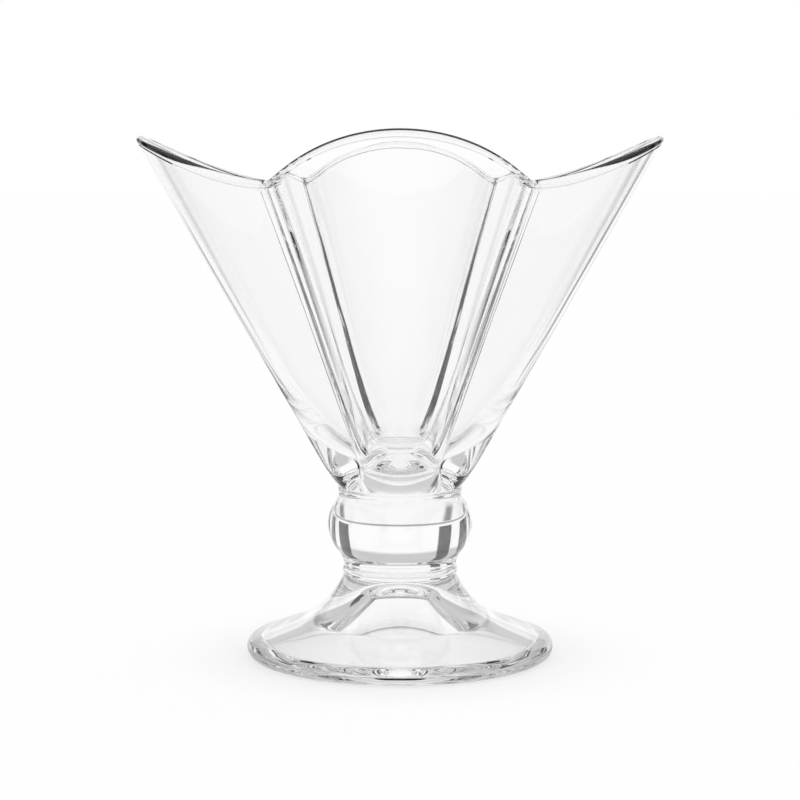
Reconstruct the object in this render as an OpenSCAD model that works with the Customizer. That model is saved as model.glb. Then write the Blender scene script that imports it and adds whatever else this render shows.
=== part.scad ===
// Footed dessert glass of clear pressed glass: a flared bowl of rounded petals with a waved rim,
// a collar, a ball knop, a second collar and a round foot that is hollow underneath.
// Units are millimetres, +Z is up, the glass stands on z = 0 with its axis on the Z axis,
// and one petal points along each of +X, +Y, -X and -Y.

/* [Overall] */
// Height from the table to the top of the petals
glass_h = 119.5; // [105:0.5:140]
// Width across two opposite petals
bowl_d = 119.6; // [105:0.2:135]

/* [Bowl] */
// Number of petals round the bowl
petals = 4; // [3:1:8]
// How far the straight outer wall, carried down to the seat, stands outside the neck
heel_out = 0.76; // [0.4:0.02:3]
// How far the rim sinks between two petals
rim_drop = 10.2; // [2:0.2:16]
// Thickness of the wall at the middle of a petal
rim_wall = 1.8; // [1.4:0.1:3]
// Height of the rounding on the end of the wall
rim_round = 0.9; // [0.5:0.1:1.5]
// Glass between the inside floor and the bowl's seat
floor_wall = 4.6; // [3:0.1:7]
// Height over which the petals run out into the round heel
heel_h = 6.4; // [4:0.2:12]
// Depth of the petals outside at the rim, where petals of share 1 only just touch
petal_out_rim_share = 0.73; // [0.6:0.01:0.8]
// Depth of the petals outside at the seat, where petals of share 1 only just touch
petal_out_seat_share = 0.87; // [0.75:0.01:0.92]
// Depth of the petals inside at the rim, where petals of share 1 only just touch
petal_in_rim_share = 0.83; // [0.78:0.01:0.9]
// Depth of the petals inside towards the floor, where petals of share 1 only just touch
petal_in_floor_share = 0.98; // [0.92:0.01:0.99]

/* [Collars] */
// Height of the collar under the bowl
upper_collar_h = 1.5; // [0.8:0.1:3]
// Height of the collar over the foot
lower_collar_h = 1.9; // [0.8:0.1:3]
// Radius of the bulging edge of both collars
collar_edge_r = 2; // [1.6:0.1:4]

/* [Knop] */
// How far the knop stands out from the upper neck
knop_out = 2.55; // [1.5:0.05:4]
// Radius of the knop's bulging profile
knop_round = 8.8; // [7:0.1:11]
// Diameter of the neck between knop and bowl
upper_neck_d = 28.3; // [24:0.1:34]
// Diameter of the neck between knop and foot
lower_neck_d = 26; // [22:0.1:31]
// Radius of the hollow fillet that leads from the knop into the upper neck
upper_fillet = 3; // [1:0.1:5]
// Radius of the hollow fillet that leads from the knop into the lower neck
lower_fillet = 5.4; // [2:0.1:8]

/* [Foot] */
// Diameter of the foot
foot_d = 70.8; // [58:0.2:90]
// Height of the foot up to the lower collar
foot_h = 19.05; // [15:0.05:26]
// Thickness of the foot's rounded rim
foot_edge = 4.6; // [3:0.1:6]
// Lean of the sweep from the vertical where it leaves the neck, in degrees
flare_lean = 21; // [10:0.5:30]
// Share of the foot's rise at which the sweep's two straight ends would meet, down from the neck
flare_share = 0.548; // [0.4:0.002:0.65]
// Glass between the top of the hollow and the lower collar
hollow_roof = 3.65; // [2:0.05:6]
// Radius of the dome at the top of the hollow
hollow_top_r = 9.7; // [7:0.1:12]
// Radius of the sweep from the dome out to the slope of the hollow
hollow_flare_r = 26; // [18:0.5:34]
// Width of the flat ring that rests on the table
rest_w = 2.4; // [1:0.1:5]

/* [Hidden] */
glass_tint = [0.86, 0.92, 0.93, 0.35];
// Squareness of the turn from the inside wall to the floor, at the floor and up at the rim
floor_turn_low = 2.5;
floor_turn_high = 7.5;
// How late the inside petals run out into the round floor
floor_fade = 40;
petal_steps = 36;
heel_steps = 6;
wall_steps = 5;
rim_steps = 8;
inside_steps = 16;
arc_steps = 24;
round_fn = 144;

// Knop: each neck fillet touches the bulge and the neck, which sets how far it lies from the knop's middle
knop_ring_r = upper_neck_d / 2 + knop_out - knop_round;
function fillet_offset(neck_d, fillet) =
    sqrt(pow(knop_round + fillet, 2) - pow(neck_d / 2 + fillet - knop_ring_r, 2));

// Heights of the joints up the axis
lower_collar_z = foot_h;
knop_bottom_z = lower_collar_z + lower_collar_h;
knop_mid_z = knop_bottom_z + fillet_offset(lower_neck_d, lower_fillet);
upper_collar_z = knop_mid_z + fillet_offset(upper_neck_d, upper_fillet);
seat_z = upper_collar_z + upper_collar_h;

// Foot: the sweep starts at the neck and ends on a straight slope that touches the rounded rim
edge_r = foot_edge / 2;
edge_c = [foot_d / 2 - edge_r, edge_r];
neck = [lower_neck_d / 2, foot_h];
flare_l = flare_share * (foot_h - foot_edge) / cos(flare_lean);
flare_corner = neck + flare_l * [sin(flare_lean), -cos(flare_lean)];
slope_way = edge_c - flare_corner;
slope_a = atan2(-slope_way[1], slope_way[0]) - asin(edge_r / norm(slope_way));
flare_r = flare_l / tan((90 - flare_lean - slope_a) / 2);
flare_c = neck + flare_r * [cos(flare_lean), sin(flare_lean)];

// Hollow under the foot: a dome, a sweep that touches it, and a slope down to the resting ring
hollow_h = foot_h - hollow_roof;
dome_c = [0, hollow_h - hollow_top_r];
rest = [edge_c[0] - rest_w, 0];
slope_up = [-cos(slope_a), sin(slope_a)];
slope_side = [sin(slope_a), cos(slope_a)];
sweep_off = rest + hollow_flare_r * slope_side - dome_c;
sweep_along = sweep_off * slope_up;
sweep_reach = hollow_top_r + hollow_flare_r;
slope_l = -sweep_along - sqrt(pow(sweep_along, 2) - sweep_off * sweep_off + pow(sweep_reach, 2));
sweep_c = rest + slope_l * slope_up + hollow_flare_r * slope_side;

// Bowl: the outer wall leans so that it starts at the seat and its rounded end reaches the overall sizes
seat_r = upper_neck_d / 2;
function rim_rise(lean) =
    rim_wall / 2 * sin(lean) + norm([rim_wall / 2 * sin(lean), rim_round * cos(lean)]);
function rim_reach(lean) =
    norm([rim_round * sin(lean), rim_wall / 2 * cos(lean)]) - rim_wall / 2 * cos(lean);
function edge_at(lean) = [bowl_d / 2 - rim_reach(lean), glass_h - rim_rise(lean)];
function lean_to(edge) = atan2(edge[0] - seat_r - heel_out, edge[1] - seat_z);
bowl_lean = lean_to(edge_at(lean_to(edge_at(lean_to([bowl_d / 2, glass_h])))));
lean_tan = tan(bowl_lean);
edge_out = edge_at(bowl_lean);
tip_z = edge_out[1] - edge_out[0] / lean_tan;
inside_tip_z = tip_z + rim_wall / sin(bowl_lean);
floor_z = seat_z + floor_wall;
heel_top_z = seat_z + heel_h;

// Outline of a bowl of petals, as a radius that is 1 at the middle of each petal
function from_petal(a) = a - 360 / petals * round(a * petals / 360);
function petal_outline(a, share) =
    share * cos(from_petal(a)) + sqrt(pow(1 - share, 2) - pow(share * sin(from_petal(a)), 2));
function mix(from, to, t) = from + (to - from) * t;

// How deep the petals are cut at height z, where neighbours of the touching share only just meet
touching_share = 1 / (1 + sin(180 / petals));
function out_share(z) = touching_share
    * mix(petal_out_seat_share, petal_out_rim_share, (z - seat_z) / (edge_out[1] - seat_z));
function down_share(z) = max(0, (edge_out[1] - z) / (edge_out[1] - floor_z));
function in_share(z) = touching_share
    * mix(petal_in_rim_share, petal_in_floor_share, down_share(z)) * (1 - pow(down_share(z), floor_fade));

// Outside of the bowl at angle a and height z: a cone of petals with a rounded heel
function cone_r(z) = (z - tip_z) * lean_tan;
function heel_share(z) = max(0, (heel_top_z - z) / heel_h);
function outer_r(z) = cone_r(z) - (cone_r(seat_z) - seat_r) * pow(heel_share(z), 2);
function outer_point(a, z) =
    [outer_r(z) * mix(petal_outline(a, out_share(z)), 1, pow(heel_share(z), 2)), z];

// Inside of the bowl at angle a and height z: a cone of petals that turns into a dished round floor
function inner_r(z) =
    let (turn = mix(floor_turn_high, floor_turn_low, down_share(z)),
         low = pow((floor_z - inside_tip_z) / (z - inside_tip_z), turn))
    (z - inside_tip_z) * lean_tan * pow(1 - low, 1 / turn);
function inner_point(a, z) = [inner_r(z) * petal_outline(a, in_share(z)), z];

// Section of the waved rim at angle a, from the outer edge (0 degrees) over the top to the inner edge (180)
function edge_z(a) = edge_out[1] - rim_drop / 2 * (1 - cos(petals * a));
function inner_edge_z(a) = edge_z(a) + rim_wall * sin(bowl_lean);
function rim_point(a, u) =
    let (out = outer_point(a, edge_z(a)),
         inner = inner_point(a, inner_edge_z(a)),
         across = out - inner,
         along = [-across[1], across[0]] / norm(across))
    (out + inner) / 2 + across / 2 * cos(u) + along * rim_round * sin(u);

function turned(p, a) = [p[0] * cos(a), p[0] * sin(a), p[1]];

module bowl() {
    angles = [for (i = [0 : petals * petal_steps - 1]) 360 * i / (petals * petal_steps)];
    count = len(angles);
    rings = concat(
        [for (i = [0 : heel_steps])
            [for (a = angles) turned(outer_point(a, seat_z + heel_h * i / heel_steps), a)]],
        [for (i = [1 : wall_steps - 1])
            [for (a = angles) turned(outer_point(a, mix(heel_top_z, edge_z(a), i / wall_steps)), a)]],
        [for (i = [0 : rim_steps])
            [for (a = angles) turned(rim_point(a, 180 * i / rim_steps), a)]],
        [for (i = [inside_steps - 1 : -1 : 1])
            let (rise = pow(i / inside_steps, 2))
            [for (a = angles) turned(inner_point(a, mix(floor_z, inner_edge_z(a), rise)), a)]]);
    seat_i = len(rings) * count;
    last = (len(rings) - 1) * count;
    points = concat([for (ring = rings) each ring], [[0, 0, seat_z], [0, 0, floor_z]]);
    faces = concat(
        [for (i = [0 : count - 1]) [seat_i, i, (i + 1) % count]],
        [for (j = [0 : len(rings) - 2]) for (i = [0 : count - 1])
            let (a = j * count + i, b = j * count + (i + 1) % count)
            each [[a, b + count, b], [a, a + count, b + count]]],
        [for (i = [0 : count - 1]) [seat_i + 1, last + (i + 1) % count, last + i]]);
    color(glass_tint)
        polyhedron(points, faces);
}

// Points along an arc about c, between two angles
function arc(c, r, from, to) =
    [for (i = [0 : arc_steps]) let (a = mix(from, to, i / arc_steps)) c + r * [cos(a), sin(a)]];
function angle_of(v) = atan2(v[1], v[0]);

// A body turned about the Z axis from its outline
module lathe(outline) {
    color(glass_tint)
        rotate_extrude($fn = round_fn)
            polygon(outline);
}

// A disc whose edge bulges, with faces as wide as the necks beside it
module collar(neck_d, h, z) {
    edge_a = asin(h / (2 * collar_edge_r));
    edge_c = [neck_d / 2 - collar_edge_r * cos(edge_a), z + h / 2];
    lathe(concat([[0, z]], arc(edge_c, collar_edge_r, -edge_a, edge_a), [[0, z + h]]));
}

module upper_collar() {
    collar(upper_neck_d, upper_collar_h, upper_collar_z);
}

module lower_collar() {
    collar(lower_neck_d, lower_collar_h, lower_collar_z);
}

module knop() {
    ring_c = [knop_ring_r, knop_mid_z];
    upper_c = [upper_neck_d / 2 + upper_fillet, upper_collar_z];
    lower_c = [lower_neck_d / 2 + lower_fillet, knop_bottom_z];
    upper_a = angle_of(upper_c - ring_c);
    lower_a = angle_of(lower_c - ring_c);
    lathe(concat(
        [[0, knop_bottom_z]],
        arc(lower_c, lower_fillet, 180, 180 + lower_a),
        arc(ring_c, knop_round, lower_a, upper_a),
        arc(upper_c, upper_fillet, 180 + upper_a, 180),
        [[0, upper_collar_z]]));
}

module foot() {
    dome_a = angle_of(sweep_c - dome_c);
    lathe(concat(
        arc(dome_c, hollow_top_r, 90, dome_a),
        arc(sweep_c, hollow_flare_r, 180 + dome_a, 270 - slope_a),
        [rest],
        arc(edge_c, edge_r, -90, 90 - slope_a),
        arc(flare_c, flare_r, 270 - slope_a, 180 + flare_lean),
        [[0, foot_h]]));
}

bowl();
upper_collar();
knop();
lower_collar();
foot();
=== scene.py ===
from math import asin, atan2, cos, hypot, pi, radians, sin, sqrt, tan

import bpy
import numpy as np
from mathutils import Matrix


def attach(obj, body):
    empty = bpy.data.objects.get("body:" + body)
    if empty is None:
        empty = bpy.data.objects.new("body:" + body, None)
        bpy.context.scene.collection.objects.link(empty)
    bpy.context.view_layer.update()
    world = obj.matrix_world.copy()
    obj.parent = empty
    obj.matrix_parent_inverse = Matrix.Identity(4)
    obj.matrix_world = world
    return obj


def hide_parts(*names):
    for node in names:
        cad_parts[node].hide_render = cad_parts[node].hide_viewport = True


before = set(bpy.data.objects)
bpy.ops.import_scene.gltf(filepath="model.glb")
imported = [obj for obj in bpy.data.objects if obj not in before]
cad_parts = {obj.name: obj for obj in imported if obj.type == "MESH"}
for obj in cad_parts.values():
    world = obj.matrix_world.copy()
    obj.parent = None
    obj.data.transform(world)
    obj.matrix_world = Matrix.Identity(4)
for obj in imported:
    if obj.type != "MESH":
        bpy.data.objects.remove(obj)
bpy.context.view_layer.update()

MM = 0.001
DEGREES = 180 / pi

# Sizes of the glass in millimetres, as in the part's source
GLASS_H = 119.5
BOWL_D = 119.6
PETALS = 4
HEEL_OUT = 0.76
RIM_DROP = 10.2
RIM_WALL = 1.8
RIM_ROUND = 0.9
FLOOR_WALL = 4.6
# Squareness of the turn from the inside wall to the floor, at the floor and up at the rim
FLOOR_TURNS = (2.5, 7.5)
FLOOR_FADE = 40
HEEL_H = 6.4
# How deep the petals are cut, at the rim and low down, where petals of share 1 only just touch
PETAL_OUT_SHARES = (0.73, 0.87)
PETAL_IN_SHARES = (0.83, 0.98)
UPPER_COLLAR_H = 1.5
LOWER_COLLAR_H = 1.9
COLLAR_EDGE_R = 2.0
KNOP_OUT = 2.55
KNOP_ROUND = 8.8
UPPER_NECK_D = 28.3
LOWER_NECK_D = 26.0
UPPER_FILLET = 3.0
LOWER_FILLET = 5.4
FOOT_D = 70.8
FOOT_H = 19.05
FOOT_EDGE = 4.6
FLARE_LEAN = radians(21)
FLARE_SHARE = 0.548
HOLLOW_ROOF = 3.65
HOLLOW_H = FOOT_H - HOLLOW_ROOF
HOLLOW_TOP_R = 9.7
HOLLOW_FLARE_R = 26.0
REST_W = 2.4

# In the scene alone: a line that the mould's ring leaves round the outside, just under the rounded rim
MOULD_LINE_W = 0.5
MOULD_LINE_DEEP = 0.2
MOULD_LINE_START_SHARE = 0.3
# In the scene alone: how far the fire polish softens the valleys of the petals, as a turn about the axis
VALLEY_OUT = radians(0.8)
VALLEY_IN = radians(4.0)

# Steps of the meshes: round a petal and up the bowl's skin, round a turned piece and along its outline
PETAL_STEPS = 160
HEEL_STEPS = 16
WALL_STEPS = 40
RIM_STEPS = 32
INSIDE_STEPS = 64
ROUND_STEPS = 256
ARC_STEPS = 24
KNOP_STEPS = 48
FOOT_STEPS = 32
HOLLOW_SLOPE_STEPS = 12
REST_STEPS = 3
SLOPE_STEPS = 8
# Faces that meet at a larger angle than this keep a crease
CREASE = radians(32)

# The knop's round has its middle on a ring of this radius
KNOP_RING_R = UPPER_NECK_D / 2 + KNOP_OUT - KNOP_ROUND


def fillet_offset(neck_d, fillet):
    """How far from the knop's middle a fillet lies that touches its bulge and a neck."""
    return sqrt((KNOP_ROUND + fillet) ** 2 - (neck_d / 2 + fillet - KNOP_RING_R) ** 2)


# Heights of the joints up the axis
LOWER_COLLAR_Z = FOOT_H
KNOP_BOTTOM_Z = LOWER_COLLAR_Z + LOWER_COLLAR_H
KNOP_MID_Z = KNOP_BOTTOM_Z + fillet_offset(LOWER_NECK_D, LOWER_FILLET)
UPPER_COLLAR_Z = KNOP_MID_Z + fillet_offset(UPPER_NECK_D, UPPER_FILLET)
SEAT_Z = UPPER_COLLAR_Z + UPPER_COLLAR_H


# Node trees
class Val:
    """One socket of a node tree. Sums and products of it add Math nodes."""

    def __init__(self, tree, socket):
        self.tree, self.socket = tree, socket

    def math(self, operation, *others):
        return self.tree.add("ShaderNodeMath", {"operation": operation}, dict(enumerate((self,) + others)))

    def __add__(self, other):
        return self.math("ADD", other)

    __radd__ = __add__

    def __mul__(self, other):
        return self.math("MULTIPLY", other)

    __rmul__ = __mul__

    def __sub__(self, other):
        return self.math("SUBTRACT", other)

    def __rsub__(self, other):
        return self.tree.add("ShaderNodeMath", {"operation": "SUBTRACT"}, {0: other, 1: self})

    def __truediv__(self, other):
        return self.math("DIVIDE", other)


class Tree:
    """The nodes of one material or of the world."""

    def __init__(self, owner, output):
        owner.use_nodes = True
        self.nodes, self.links = owner.node_tree.nodes, owner.node_tree.links
        self.nodes.clear()
        self.output = self.nodes.new(output)

    def add(self, kind, settings=None, values=None, out=0):
        node = self.nodes.new(kind)
        for key, value in (settings or {}).items():
            setattr(node, key, value)
        for key, value in (values or {}).items():
            if isinstance(value, Val):
                self.links.new(value.socket, node.inputs[key])
            else:
                node.inputs[key].default_value = value
        return Val(self, node.outputs[out])

    def ramp(self, value, low, high):
        """0 below low and 1 above high, with a smooth change between them."""
        return self.add("ShaderNodeMapRange", {"interpolation_type": "SMOOTHSTEP"},
                        {"Value": value, "From Min": low, "From Max": high})

    def finish(self, shader):
        self.links.new(shader.socket, self.output.inputs["Surface"])


# Finishes
GLASS_IOR = 1.5
# Flow waves to a metre across the glass and up it, and grains of its skin to a metre
FLOW_SCALES = (90, 90, 22)
SKIN_SCALE = 420.0
# How much of the skin's grain is felt beside the waves, and how rough it is at most
SKIN_SHARE = 0.03
SKIN_ROUGHNESS = 0.012
# Light that one face lets through to what lies in the shade of the glass
LET_THROUGH = (0.98, 0.98, 0.98, 1)


def pressed_glass(name, tint, wave):
    """Clear pressed glass: faint tint, fire-polished skin, shallow flow waves left by the mould."""
    mat = bpy.data.materials.new(name)
    t = Tree(mat, "ShaderNodeOutputMaterial")
    place = t.add("ShaderNodeTexCoord", out="Object")
    long_way = t.add("ShaderNodeVectorMath", {"operation": "MULTIPLY"}, {0: place, 1: FLOW_SCALES})
    flow = t.add("ShaderNodeTexNoise", values={
        "Vector": long_way, "Scale": 1.0, "Detail": 1.0, "Roughness": 0.4})
    skin = t.add("ShaderNodeTexNoise", values={"Vector": place, "Scale": SKIN_SCALE, "Detail": 2.0})
    bump = t.add("ShaderNodeBump", values={
        "Height": flow + skin * SKIN_SHARE, "Strength": 1.0, "Distance": wave})
    colour = t.add("ShaderNodeMix", {"data_type": "RGBA"},
                   {"Factor": flow, 6: (1, 1, 1, 1), 7: (*tint, 1)}, out=2)
    glass = t.add("ShaderNodeBsdfPrincipled", values={
        "Base Color": colour, "Roughness": skin * SKIN_ROUGHNESS, "IOR": GLASS_IOR,
        "Transmission Weight": 1.0, "Normal": bump})
    let_through = t.add("ShaderNodeBsdfTransparent", values={"Color": LET_THROUGH})
    shade = t.add("ShaderNodeLightPath", out="Is Shadow Ray")
    t.finish(t.add("ShaderNodeMixShader", values={0: shade, 1: glass, 2: let_through}))
    return mat


def fused_joint():
    """Where two pieces of glass are fused there is no surface to see."""
    mat = bpy.data.materials.new("fused_joint")
    t = Tree(mat, "ShaderNodeOutputMaterial")
    t.finish(t.add("ShaderNodeBsdfTransparent", values={"Color": (1, 1, 1, 1)}))
    return mat


JOINT = fused_joint()
BOWL_GLASS = pressed_glass("bowl_pressed_glass", tint=(0.984, 0.984, 0.988), wave=0.00004)
STEM_GLASS = pressed_glass("stem_pressed_glass", tint=(0.982, 0.983, 0.986), wave=0.00002)
FOOT_GLASS = pressed_glass("foot_pressed_glass", tint=(0.982, 0.983, 0.986), wave=0.00003)


# Meshes
def piece(name, rings, joints, glass):
    """A closed skin over rings of points. The first and last ring shrink to one point each, and the bands
    of faces listed in joints, counted from the first ring, are fused to a neighbour."""
    first, *middle, last = rings
    count = len(middle[0])
    points = [first[:1]] + middle + [last[:1]]
    verts = np.concatenate(points) * MM
    tip = len(verts) - 1
    faces, bands = [], []
    nxt = [(i + 1) % count for i in range(count)]
    for i in range(count):
        faces.append((0, 1 + nxt[i], 1 + i))
        bands.append(0)
    for j in range(len(middle) - 1):
        a, b = 1 + j * count, 1 + (j + 1) * count
        for i in range(count):
            faces.append((a + i, a + nxt[i], b + nxt[i], b + i))
            bands.append(j + 1)
    a = 1 + (len(middle) - 1) * count
    for i in range(count):
        faces.append((a + i, a + nxt[i], tip))
        bands.append(len(middle))
    mesh = bpy.data.meshes.new(name)
    mesh.from_pydata(verts.tolist(), [], faces)
    mesh.materials.append(glass)
    mesh.materials.append(JOINT)
    wanted = {j % (len(middle) + 1) for j in joints}
    mesh.polygons.foreach_set("material_index", [int(b in wanted) for b in bands])
    mesh.polygons.foreach_set("use_smooth", [True] * len(faces))
    mesh.set_sharp_from_angle(angle=CREASE)
    obj = bpy.data.objects.new(name + "_glass", mesh)
    bpy.context.scene.collection.objects.link(obj)
    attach(obj, "root")
    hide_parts(name)


def lathe(name, outline, joints, glass):
    """A piece turned about the axis from an outline that starts and ends on it."""
    turn = np.arange(ROUND_STEPS) * 2 * pi / ROUND_STEPS
    rings = [np.stack([r * np.cos(turn), r * np.sin(turn), z + 0 * turn], axis=1) for r, z in outline]
    piece(name, rings, joints, glass)


def arc(c, r, start, end, steps=ARC_STEPS):
    """Points along an arc about c, without its last one."""
    angles = [start + (end - start) * i / steps for i in range(steps)]
    return [(c[0] + r * cos(a), c[1] + r * sin(a)) for a in angles]


def line(p, q, steps):
    """Points along a straight stretch, without its last one."""
    return [(p[0] + (q[0] - p[0]) * i / steps, p[1] + (q[1] - p[1]) * i / steps) for i in range(steps)]


def angle_of(p, q):
    """Direction from p to q."""
    return atan2(q[1] - p[1], q[0] - p[0])


# Bowl
def bowl_rings():
    """Rings of the bowl's skin: from the seat up the outside, over the rim and down inside to the floor."""
    petal_half = pi / PETALS
    turn = np.arange(PETALS * PETAL_STEPS) * 2 * pi / (PETALS * PETAL_STEPS)
    off = np.abs(turn - 2 * petal_half * np.round(turn / (2 * petal_half)))

    def petal_outline(share, valley):
        """Radius all round of petals that reach 1: arcs of radius 1 - share about points share out."""
        b = petal_half - np.sqrt((petal_half - off) ** 2 + valley ** 2)
        return share * np.cos(b) + np.sqrt((1 - share) ** 2 - (share * np.sin(b)) ** 2)

    # The wall leans so that it starts at the seat and its rounded end reaches the overall sizes
    half = RIM_WALL / 2
    edge_r, edge_top = BOWL_D / 2, GLASS_H
    for _ in range(3):
        wall_lean = atan2(edge_r - UPPER_NECK_D / 2 - HEEL_OUT, edge_top - SEAT_Z)
        out, up = half * cos(wall_lean), half * sin(wall_lean)
        edge_r = BOWL_D / 2 + out - hypot(RIM_ROUND * sin(wall_lean), out)
        edge_top = GLASS_H - up - hypot(up, RIM_ROUND * cos(wall_lean))
    lean = tan(wall_lean)
    tip_z = edge_top - edge_r / lean
    inside_tip_z = tip_z + RIM_WALL / sin(wall_lean)
    floor_z = SEAT_Z + FLOOR_WALL
    touching = 1 / (1 + sin(petal_half))

    def outer(z):
        """Radius of the outer wall at height z, which may differ all round."""
        down = (edge_top - z) / (edge_top - SEAT_Z)
        share = touching * (PETAL_OUT_SHARES[0] + (PETAL_OUT_SHARES[1] - PETAL_OUT_SHARES[0]) * down)
        outline = petal_outline(share, VALLEY_OUT)
        heel = np.maximum(0, (SEAT_Z + HEEL_H - z) / HEEL_H) ** 2
        cone = (z - tip_z) * lean - ((SEAT_Z - tip_z) * lean - UPPER_NECK_D / 2) * heel
        return cone * (outline + (1 - outline) * heel)

    def inner(z):
        """Radius of the inside at height z: a cone of petals that turns into a dished round floor."""
        down = np.maximum(0, (edge_top - z) / (edge_top - floor_z))
        share = touching * (PETAL_IN_SHARES[0] + (PETAL_IN_SHARES[1] - PETAL_IN_SHARES[0]) * down)
        outline = petal_outline(share * (1 - down ** FLOOR_FADE), VALLEY_IN)
        turn_n = FLOOR_TURNS[1] + (FLOOR_TURNS[0] - FLOOR_TURNS[1]) * down
        low = ((floor_z - inside_tip_z) / (z - inside_tip_z)) ** turn_n
        return lean * (z - inside_tip_z) * np.maximum(0, 1 - low) ** (1 / turn_n) * outline

    edge_z = edge_top - RIM_DROP / 2 * (1 - np.cos(PETALS * turn))
    rim_out_r = outer(edge_z)
    rim_in_z = edge_z + RIM_WALL * sin(wall_lean)
    rim_in_r = inner(rim_in_z)

    def ring(r, z):
        return np.stack([r * np.cos(turn), r * np.sin(turn), z + 0 * turn], axis=1)

    rings = [ring(0 * turn, SEAT_Z)]
    for i in range(HEEL_STEPS + 1):
        z = SEAT_Z + HEEL_H * i / HEEL_STEPS
        rings.append(ring(outer(z), z))
    for i in range(1, WALL_STEPS):
        z = SEAT_Z + HEEL_H + (edge_z - SEAT_Z - HEEL_H) * i / WALL_STEPS
        rings.append(ring(outer(z), z))
    for below, deep in ((2, 0), (1, 1), (0, 0)):
        z = edge_z - MOULD_LINE_W * (MOULD_LINE_START_SHARE + below / 2)
        rings.append(ring(outer(z) - MOULD_LINE_DEEP * deep, z))
    across_r, across_z = rim_out_r - rim_in_r, edge_z - rim_in_z
    width = np.hypot(across_r, across_z)
    for i in range(RIM_STEPS + 1):
        c, s = cos(pi * i / RIM_STEPS), sin(pi * i / RIM_STEPS)
        rings.append(ring((rim_out_r + rim_in_r) / 2 + across_r / 2 * c - across_z / width * RIM_ROUND * s,
                          (edge_z + rim_in_z) / 2 + across_z / 2 * c + across_r / width * RIM_ROUND * s))
    for i in range(1, INSIDE_STEPS):
        z = floor_z + (rim_in_z - floor_z) * (1 - i / INSIDE_STEPS) ** 2
        rings.append(ring(inner(z), z))
    rings.append(ring(0 * turn, floor_z))
    return rings


piece("bowl", bowl_rings(), [0], BOWL_GLASS)


# Stem
def collar(name, neck_d, h, z):
    """Short collar with a rounded edge."""
    edge_a = asin(h / (2 * COLLAR_EDGE_R))
    c = (neck_d / 2 - COLLAR_EDGE_R * cos(edge_a), z + h / 2)
    edge = arc(c, COLLAR_EDGE_R, -edge_a, edge_a) + [(neck_d / 2, z + h)]
    lathe(name, [(0, z)] + edge + [(0, z + h)], [0, -1], STEM_GLASS)


collar("upper_collar", UPPER_NECK_D, UPPER_COLLAR_H, UPPER_COLLAR_Z)
collar("lower_collar", LOWER_NECK_D, LOWER_COLLAR_H, LOWER_COLLAR_Z)


def knop():
    """Ball knop with a hollow fillet into the neck above and below it."""
    ring_c = (KNOP_RING_R, KNOP_MID_Z)
    upper_c = (UPPER_NECK_D / 2 + UPPER_FILLET, UPPER_COLLAR_Z)
    lower_c = (LOWER_NECK_D / 2 + LOWER_FILLET, KNOP_BOTTOM_Z)
    upper_a, lower_a = angle_of(ring_c, upper_c), angle_of(ring_c, lower_c)
    outline = ([(0, KNOP_BOTTOM_Z)]
               + arc(lower_c, LOWER_FILLET, pi, pi + lower_a)
               + arc(ring_c, KNOP_ROUND, lower_a, upper_a, KNOP_STEPS)
               + arc(upper_c, UPPER_FILLET, pi + upper_a, pi)
               + [(UPPER_NECK_D / 2, UPPER_COLLAR_Z), (0, UPPER_COLLAR_Z)])
    lathe("knop", outline, [0, -1], STEM_GLASS)


knop()


# Foot
def foot():
    """Round foot with a swept top, a rounded rim, a ring to rest on and a hollow underneath."""
    neck = (LOWER_NECK_D / 2, FOOT_H)
    edge_r = FOOT_EDGE / 2
    edge_c = (FOOT_D / 2 - edge_r, edge_r)
    reach = FLARE_SHARE * (FOOT_H - FOOT_EDGE) / cos(FLARE_LEAN)
    corner = (neck[0] + reach * sin(FLARE_LEAN), neck[1] - reach * cos(FLARE_LEAN))
    slope = -angle_of(corner, edge_c) - asin(edge_r / hypot(edge_c[0] - corner[0], edge_c[1] - corner[1]))
    down, out = sin(slope), cos(slope)
    flare_r = reach / tan((pi / 2 - FLARE_LEAN - slope) / 2)
    flare_c = (neck[0] + flare_r * cos(FLARE_LEAN), neck[1] + flare_r * sin(FLARE_LEAN))
    slope_end = (edge_c[0] + edge_r * down, edge_c[1] + edge_r * out)
    flare_end = (flare_c[0] - flare_r * down, flare_c[1] - flare_r * out)
    # Hollow underneath: a dome at the top, swept out to a slope that ends at the resting ring
    rest = (edge_c[0] - REST_W, 0)
    dome_c = (0, HOLLOW_H - HOLLOW_TOP_R)
    off = (rest[0] + HOLLOW_FLARE_R * down, HOLLOW_FLARE_R * out - dome_c[1])
    along = off[1] * down - off[0] * out
    slope_l = -along - sqrt(along ** 2 - hypot(*off) ** 2 + (HOLLOW_TOP_R + HOLLOW_FLARE_R) ** 2)
    sweep_end = (rest[0] - slope_l * out, slope_l * down)
    sweep_c = (sweep_end[0] + HOLLOW_FLARE_R * down, sweep_end[1] + HOLLOW_FLARE_R * out)
    dome_a = angle_of(dome_c, sweep_c)
    outline = (arc(dome_c, HOLLOW_TOP_R, pi / 2, dome_a, FOOT_STEPS)
               + arc(sweep_c, HOLLOW_FLARE_R, pi + dome_a, 1.5 * pi - slope, FOOT_STEPS)
               + line(sweep_end, rest, HOLLOW_SLOPE_STEPS)
               + line(rest, (edge_c[0], 0), REST_STEPS)
               + arc(edge_c, edge_r, -pi / 2, pi / 2 - slope, FOOT_STEPS)
               + line(slope_end, flare_end, SLOPE_STEPS)
               + arc(flare_c, flare_r, 1.5 * pi - slope, pi + FLARE_LEAN, FOOT_STEPS)
               + [neck, (0, FOOT_H)])
    lathe("foot", outline, [-1], FOOT_GLASS)


foot()


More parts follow.
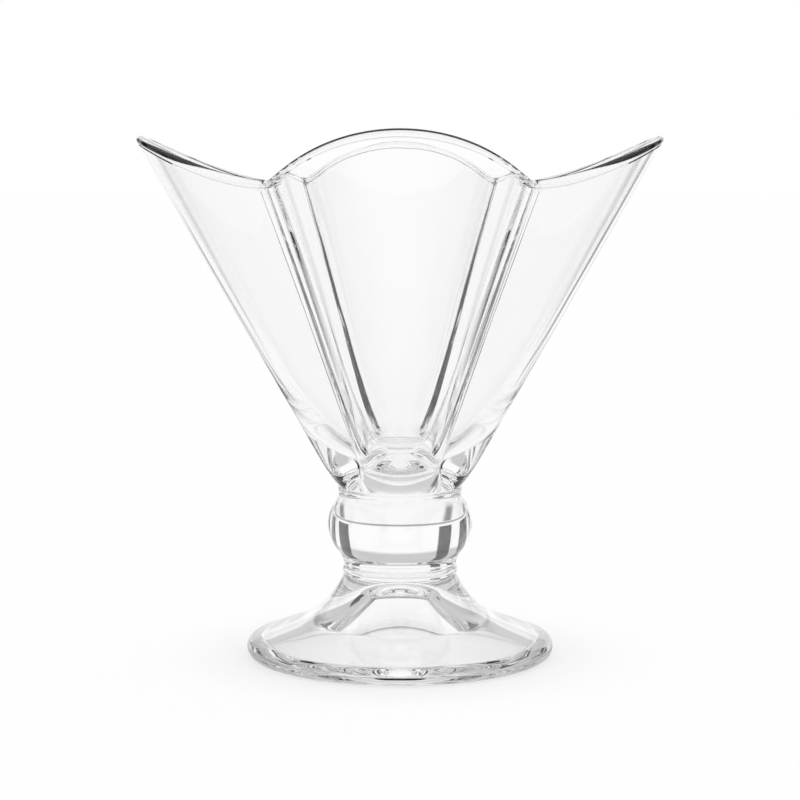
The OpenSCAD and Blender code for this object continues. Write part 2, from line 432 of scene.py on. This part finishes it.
# Studio
# Dark upright boards round the studio, and dark strips that lie on the table: bearing from the back and
# half their width, in degrees
BOARDS = ((40, 6.5), (60, 6), (-28, 5.5), (-52, 8), (104, 6.5), (-92, 5.5), (168, 6.5), (-156, 5.5))
STRIPS = ((40, 3.5), (57, 4), (-28, 3.5), (-55, 4))
# How soft their sides are, where the boards end above the horizon and how dark they are
BOARD_BLUR = 0.7
BOARD_TOP = (26.0, 34.0)
BOARD_DIM = 0.85
# The same for the strips, which start and end at some distance in metres. How flat a ray lies to the table,
# 1 for along it, settles whether it shows them.
STRIP_BLUR = 2.0
STRIP_START = (0.08, 0.16)
STRIP_END = (0.5, 0.6)
STRIP_FLAT = (0.5, 0.6)
STRIP_DIM = 0.7
# Distance of the table's edge all round and of the foot of the wall behind it, and how soft they are, in
# metres, then how flat a ray shows the painted shade between them and how dark it is
TABLE_EDGE = 0.62
TABLE_EDGE_BLUR = 0.01
WALL_FOOT = 1.05
WALL_FOOT_BLUR = 0.05
EDGE_FLAT = (0.86, 0.92)
EDGE_SHADE_DIM = 0.6
# Painted shade round the foot's rim, a dark ring on the table that shows in the glass: where it starts and
# ends, and how dark it is
CONTACT_START = (0.029, 0.033)
CONTACT_END = (0.04, 0.06)
CONTACT_SHADE_DIM = 0.25
# How much of the table's white is a glow: seen in the glass, more of it beneath the foot's hollow as
# painted light, and seen straight from the camera, less of it where the foot's own shade lies
GLASS_WHITE = 0.2
UNDER_FOOT = (0.026, 0.032)
UNDER_FOOT_PAINTED_LIGHT = 0.5
SHADE_WHITE = 0.4
SHADE_END = (0.036, 0.06)
OPEN_WHITE = 0.85
TABLE_HALF = 60.0
TABLE_GREYS = ((0.965, 0.965, 0.965, 1), (0.975, 0.975, 0.975, 1))
DARK_STRIPS_AND_SHADE = (0.02, 0.02, 0.02, 1)
# Where the dim ceiling starts and ends above the horizon and how dark it is, through one thickness of glass
# and through more
CEILING_START = (12.5, 14.5)
CEILING_END = (40.0, 60.0)
CEILING_DIM_ONCE = 0.42
CEILING_DIM = 0.68
# Level of the studio where it lights the object, and not where it is seen
STUDIO_LEVEL = 0.72
# Camera fitted to the outline of the glass in the photograph
CAMERA_PLACE = (0, -0.4922, 0.1072)
CAMERA_TURN = (radians(84.42), 0, 0)
CAMERA_LENS = 96.75


def seen_through(t):
    """How a ray came: straight from the camera, sharply through or off the glass alone, and in that case
    also whether it met no more than one thickness of glass."""
    path = t.add("ShaderNodeLightPath").socket.node.outputs
    camera = Val(t, path["Is Camera Ray"])
    sharp = Val(t, path["Is Glossy Ray"]).math("MAXIMUM", Val(t, path["Is Transmission Ray"]))
    sharp = sharp * Val(t, path["Diffuse Depth"]).math("LESS_THAN", 0.5)
    once = sharp * Val(t, path["Transmission Depth"]).math("LESS_THAN", 2.5)
    return camera, sharp, once


def bars(t, bearing, places, blur):
    """1 on dark bars at some bearings and 0 between them. Their sides are blurred by some degrees."""
    dark = None
    for middle, half in places:
        off = ((bearing - middle + 540).math("MODULO", 360.0) - 180).math("ABSOLUTE")
        bar = 1 - t.ramp(off, half - blur, half + blur)
        dark = bar if dark is None else dark + bar
    return dark


def studio_floor():
    """White table. Through one thickness of glass, the painted shade past its far edge and its strips are
    dark.
    """
    mat = bpy.data.materials.new("white_table")
    t = Tree(mat, "ShaderNodeOutputMaterial")
    place = t.add("ShaderNodeTexCoord", out="Object")
    part = t.add("ShaderNodeSeparateXYZ", values={0: place})
    x, y, _ = (Val(t, s) for s in part.socket.node.outputs)
    camera, sharp, once = seen_through(t)
    away = (x * x + y * y).math("SQRT")
    bearing = x.math("ARCTAN2", y) * DEGREES
    # Painted shade in the gap between the table's edge and the foot of the wall, seen only in the glass
    past_edge = t.ramp(away, TABLE_EDGE - TABLE_EDGE_BLUR, TABLE_EDGE + TABLE_EDGE_BLUR)
    edge = past_edge * (1 - t.ramp(away, WALL_FOOT - WALL_FOOT_BLUR, WALL_FOOT + WALL_FOOT_BLUR))
    strips = bars(t, bearing, STRIPS, STRIP_BLUR)
    strips = strips * t.ramp(away, *STRIP_START) * (1 - t.ramp(away, *STRIP_END))
    # Painted light: the table glows more beneath the foot's hollow, seen in the glass
    painted_light_under_foot = 1 - t.ramp(away, *UNDER_FOOT)
    # Painted shade round the foot's rim, seen through the glass
    painted_contact_shade = t.ramp(away, *CONTACT_START) * (1 - t.ramp(away, *CONTACT_END))
    # Steep views look at the table through the glass and not along it
    flat = t.add("ShaderNodeLayerWeight", values={"Blend": 0.5}, out="Facing")
    edge = edge * t.ramp(flat, *EDGE_FLAT) * EDGE_SHADE_DIM
    strips = strips * t.ramp(flat, *STRIP_FLAT) * STRIP_DIM
    # Where the dark finish goes: the dark strips, and the painted shade past the table's edge and round the
    # foot's rim
    strips_and_painted_shade = (once * edge.math("MAXIMUM", strips)).math("MAXIMUM", sharp * painted_contact_shade * CONTACT_SHADE_DIM)
    grain = t.add("ShaderNodeTexNoise", values={"Vector": place, "Scale": 6.0, "Detail": 2.0})
    colour = t.add("ShaderNodeMix", {"data_type": "RGBA"},
                   {"Factor": grain, 6: TABLE_GREYS[0], 7: TABLE_GREYS[1]}, out=2)
    white = t.add("ShaderNodeBsdfDiffuse", values={"Color": colour})
    glow = t.add("ShaderNodeEmission", values={"Color": (1, 1, 1, 1), "Strength": 1.0})
    # Dark finish of the strips, also used for the painted shade
    dark = t.add("ShaderNodeBsdfDiffuse", values={"Color": DARK_STRIPS_AND_SHADE})
    in_view = SHADE_WHITE + t.ramp(away, *SHADE_END) * (OPEN_WHITE - SHADE_WHITE)
    # Share of the white glow, with the painted light beneath the foot's hollow
    shine = camera * in_view + sharp * (GLASS_WHITE + painted_light_under_foot * UNDER_FOOT_PAINTED_LIGHT)
    lit = t.add("ShaderNodeMixShader", values={0: shine, 1: white, 2: glow})
    t.finish(t.add("ShaderNodeMixShader", values={0: strips_and_painted_shade, 1: lit, 2: dark}))
    mesh = bpy.data.meshes.new("white_table")
    corners = [(i * TABLE_HALF, j * TABLE_HALF, 0) for i, j in ((-1, -1), (1, -1), (1, 1), (-1, 1))]
    mesh.from_pydata(corners, [], [(0, 1, 2, 3)])
    mesh.materials.append(mat)
    table = bpy.data.objects.new("white_table", mesh)
    bpy.context.scene.collection.objects.link(table)


studio_floor()


def studio_world():
    """White behind the glass. In reflections and through the glass the studio also has a dimmer ceiling and
    dark upright boards, which draw the edges."""
    world = bpy.data.worlds.new("studio")
    bpy.context.scene.world = world
    t = Tree(world, "ShaderNodeOutputWorld")
    way = t.add("ShaderNodeTexCoord", out="Generated")
    part = t.add("ShaderNodeSeparateXYZ", values={0: way})
    x, y, z = (Val(t, s) for s in part.socket.node.outputs)
    camera, sharp, once = seen_through(t)
    bearing = x.math("ARCTAN2", y) * DEGREES
    climb = z.math("ARCSINE") * DEGREES
    ceiling = t.ramp(climb, *CEILING_START) * (1 - t.ramp(climb, *CEILING_END))
    walls = 1 - (CEILING_DIM - (CEILING_DIM - CEILING_DIM_ONCE) * once) * ceiling
    walls = walls * (1 - BOARD_DIM * bars(t, bearing, BOARDS, BOARD_BLUR) * (1 - t.ramp(climb, *BOARD_TOP)))
    plain = camera + (1 - camera) * STUDIO_LEVEL
    level = plain * (1 - sharp) + walls * sharp
    t.finish(t.add("ShaderNodeBackground", values={"Color": level, "Strength": 1.0}))


studio_world()


def soft_key():
    """A broad lamp from behind that gives the table its soft shadow and doesn't show in the glass."""
    sun = bpy.data.lights.new("soft_key", "SUN")
    sun.energy = 1.0
    sun.angle = radians(30)
    key = bpy.data.objects.new("soft_key", sun)
    key.location = (0.3, 0.5, 1.2)
    key.rotation_euler = (radians(-24), radians(18), 0)
    key.visible_glossy = False
    key.visible_transmission = False
    bpy.context.scene.collection.objects.link(key)


soft_key()


def front_camera():
    """The view of the photograph."""
    lens = bpy.data.cameras.new("camera")
    lens.lens = CAMERA_LENS
    lens.sensor_width = 36
    lens.clip_start = 0.01
    camera = bpy.data.objects.new("camera", lens)
    camera.location = CAMERA_PLACE
    camera.rotation_euler = CAMERA_TURN
    bpy.context.scene.collection.objects.link(camera)
    bpy.context.scene.camera = camera


front_camera()
bpy.context.scene.view_settings.view_transform = "Standard"

# Light goes through many faces of clear glass, and what is trapped in the thin edges is left dark
rays = bpy.context.scene.cycles
rays.max_bounces = 24
rays.glossy_bounces = 10
rays.transmission_bounces = 24
rays.transparent_max_bounces = 32
